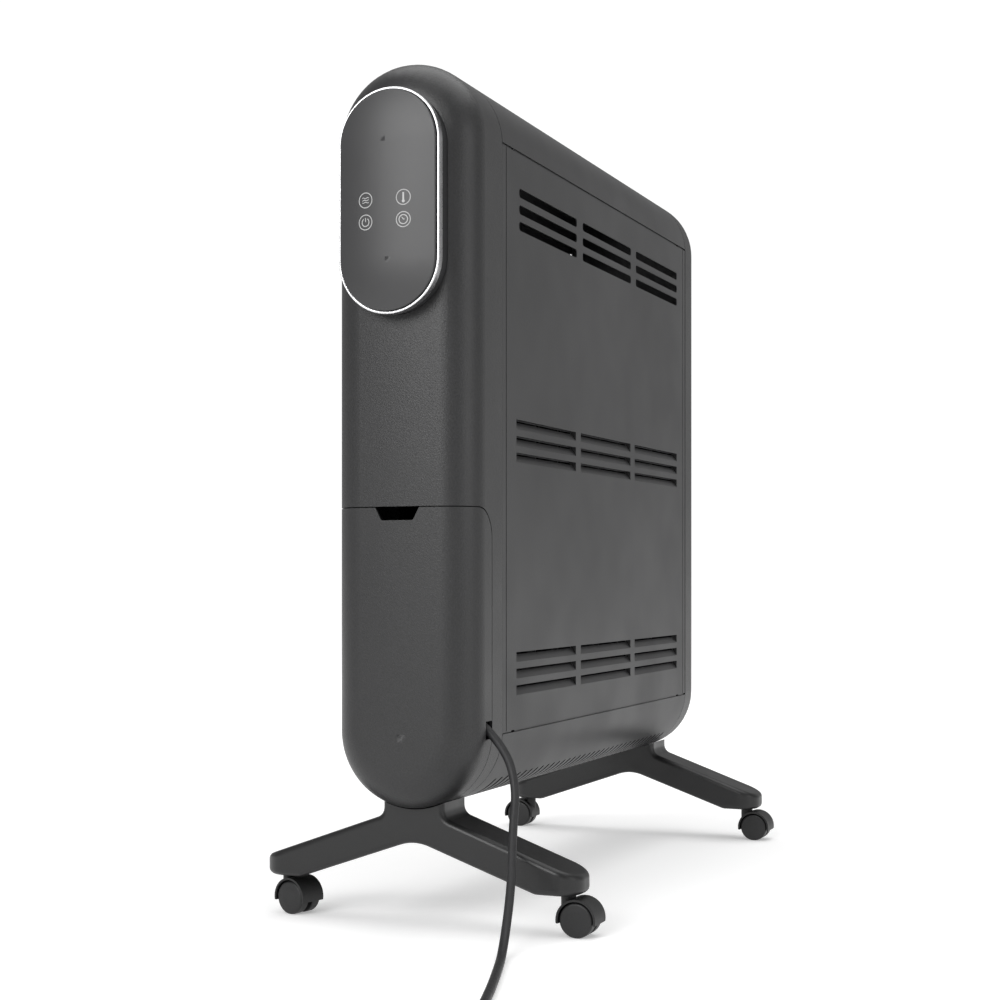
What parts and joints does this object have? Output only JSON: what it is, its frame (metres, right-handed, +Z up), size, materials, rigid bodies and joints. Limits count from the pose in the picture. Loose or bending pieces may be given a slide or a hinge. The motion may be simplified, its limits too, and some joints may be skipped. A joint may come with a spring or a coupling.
{
  "type": "oil filled radiator heater",
  "caption": "Slim upright oil filled radiator in a round-ended steel casing on two arched feet with twin-wheel castors, with a touch control and a pull-off cord door.",
  "frame": {"origin": "on the floor below the middle of the heater, without its cord", "axes": "+Z up, -Y the front with the touch control and the cord door, X across the body"},
  "size_m": [0.3424, 1.0204, 0.6962],
  "materials": {
    "cap_plastic": "fine-grained matt charcoal",
    "panel_paint": "satin charcoal powder coat",
    "tray_plastic": "matt black",
    "ring_metal": "satin bright",
    "touch_glass": "smoked, printed behind",
    "foot_plastic": "satin black",
    "caster_plastic": "black nylon",
    "wheel_plastic": "black nylon tread",
    "bright_steel": "bright plated",
    "zinc_steel": "zinc plated",
    "column_paint": "baked black",
    "board": "green laminate",
    "inner_plastic": "grey moulding",
    "gasket_rubber": "matt",
    "cord_rubber": "matt black sheath",
    "plug_plastic": "black moulding",
    "pin_brass": "nickel plated"
  },
  "bodies": {
    "root": {"front_cap": "cap_plastic", "rear_cap": "cap_plastic", "cord_bay_liner": "tray_plastic", "control_bezel": "ring_metal", "control_backing": "tray_plastic", "touch_glass": "touch_glass", "touch_board": "board", "power_board": "board", "board_posts": "inner_plastic", "terminal_block": "inner_plastic", "thermal_cutout": "zinc_steel", "temperature_sensor": "zinc_steel", "tilt_switch_housing": "inner_plastic", "top_cover": "panel_paint", "bottom_cover": "panel_paint", "side_panel_right": "panel_paint", "side_panel_left": "panel_paint", "front_bulkhead": "column_paint", "rear_bulkhead": "column_paint", "radiator_columns": "column_paint", "filling_plug": "zinc_steel", "header_nuts": "zinc_steel", "heating_element": "zinc_steel", "element_flange": "zinc_steel", "element_gasket": "gasket_rubber", "front_cap_screws": "zinc_steel", "rear_cap_screws": "zinc_steel", "cover_screws": "zinc_steel", "foot_front": "foot_plastic", "foot_rear": "foot_plastic", "foot_brackets": "zinc_steel", "foot_bolts": "zinc_steel", "foot_nuts": "zinc_steel", "caster_stems": "bright_steel", "cord_gland": "gasket_rubber", "cord": "cord_rubber", "cord_tail": "cord_rubber", "cord_coil": "cord_rubber", "cord_tie": "gasket_rubber", "plug_body": "plug_plastic", "plug_pins": "pin_brass"},
    "caster_front_right": {"caster_front_right_hood": "caster_plastic", "caster_front_right_axle": "bright_steel"},
    "caster_front_right_wheel_a": {"caster_front_right_wheel_a": "wheel_plastic"},
    "caster_front_right_wheel_b": {"caster_front_right_wheel_b": "wheel_plastic"},
    "caster_front_left": {"caster_front_left_hood": "caster_plastic", "caster_front_left_axle": "bright_steel"},
    "caster_front_left_wheel_a": {"caster_front_left_wheel_a": "wheel_plastic"},
    "caster_front_left_wheel_b": {"caster_front_left_wheel_b": "wheel_plastic"},
    "caster_rear_right": {"caster_rear_right_hood": "caster_plastic", "caster_rear_right_axle": "bright_steel"},
    "caster_rear_right_wheel_a": {"caster_rear_right_wheel_a": "wheel_plastic"},
    "caster_rear_right_wheel_b": {"caster_rear_right_wheel_b": "wheel_plastic"},
    "caster_rear_left": {"caster_rear_left_hood": "caster_plastic", "caster_rear_left_axle": "bright_steel"},
    "caster_rear_left_wheel_a": {"caster_rear_left_wheel_a": "wheel_plastic"},
    "caster_rear_left_wheel_b": {"caster_rear_left_wheel_b": "wheel_plastic"},
    "cord_door": {"cord_door": "cap_plastic"},
    "tilt_pendulum": {"tilt_switch_pendulum": "zinc_steel"}
  },
  "joints": [
    {"name": "door_slide", "type": "slide", "parent": "root", "child": "cord_door", "axis": [0, -1, 0], "range_m": [0, 0.11]},
    {"name": "tilt_swing", "type": "hinge", "parent": "root", "child": "tilt_pendulum", "pos_m": [0.034, -0.24207, 0.4942], "axis": [0, 1, 0], "range_deg": [-20, 20]},
    {"name": "caster_front_right_swivel", "type": "hinge", "parent": "root", "child": "caster_front_right", "pos_m": [0.126, -0.24937, 0.032], "axis": [0, 0, 1], "continuous": true},
    {"name": "caster_front_right_wheel_a_spin", "type": "hinge", "parent": "caster_front_right", "child": "caster_front_right_wheel_a", "pos_m": [0.136, -0.24937, 0.014], "axis": [0, 1, 0], "continuous": true},
    {"name": "caster_front_right_wheel_b_spin", "type": "hinge", "parent": "caster_front_right", "child": "caster_front_right_wheel_b", "pos_m": [0.136, -0.24937, 0.014], "axis": [0, 1, 0], "continuous": true},
    {"name": "caster_front_left_swivel", "type": "hinge", "parent": "root", "child": "caster_front_left", "pos_m": [-0.126, -0.24937, 0.032], "axis": [0, 0, 1], "continuous": true},
    {"name": "caster_front_left_wheel_a_spin", "type": "hinge", "parent": "caster_front_left", "child": "caster_front_left_wheel_a", "pos_m": [-0.11631, -0.25184, 0.014], "axis": [0.247, 0.969, 0], "continuous": true},
    {"name": "caster_front_left_wheel_b_spin", "type": "hinge", "parent": "caster_front_left", "child": "caster_front_left_wheel_b", "pos_m": [-0.11631, -0.25184, 0.014], "axis": [0.247, 0.969, 0], "continuous": true},
    {"name": "caster_rear_right_swivel", "type": "hinge", "parent": "root", "child": "caster_rear_right", "pos_m": [0.126, 0.29423, 0.032], "axis": [0, 0, 1], "continuous": true},
    {"name": "caster_rear_right_wheel_a_spin", "type": "hinge", "parent": "caster_rear_right", "child": "caster_rear_right_wheel_a", "pos_m": [0.136, 0.29423, 0.014], "axis": [0, 1, 0], "continuous": true},
    {"name": "caster_rear_right_wheel_b_spin", "type": "hinge", "parent": "caster_rear_right", "child": "caster_rear_right_wheel_b", "pos_m": [0.136, 0.29423, 0.014], "axis": [0, 1, 0], "continuous": true},
    {"name": "caster_rear_left_swivel", "type": "hinge", "parent": "root", "child": "caster_rear_left", "pos_m": [-0.126, 0.29423, 0.032], "axis": [0, 0, 1], "continuous": true},
    {"name": "caster_rear_left_wheel_a_spin", "type": "hinge", "parent": "caster_rear_left", "child": "caster_rear_left_wheel_a", "pos_m": [-0.136, 0.29423, 0.014], "axis": [0, -1, 0], "continuous": true},
    {"name": "caster_rear_left_wheel_b_spin", "type": "hinge", "parent": "caster_rear_left", "child": "caster_rear_left_wheel_b", "pos_m": [-0.136, 0.29423, 0.014], "axis": [0, -1, 0], "continuous": true}
  ]
}
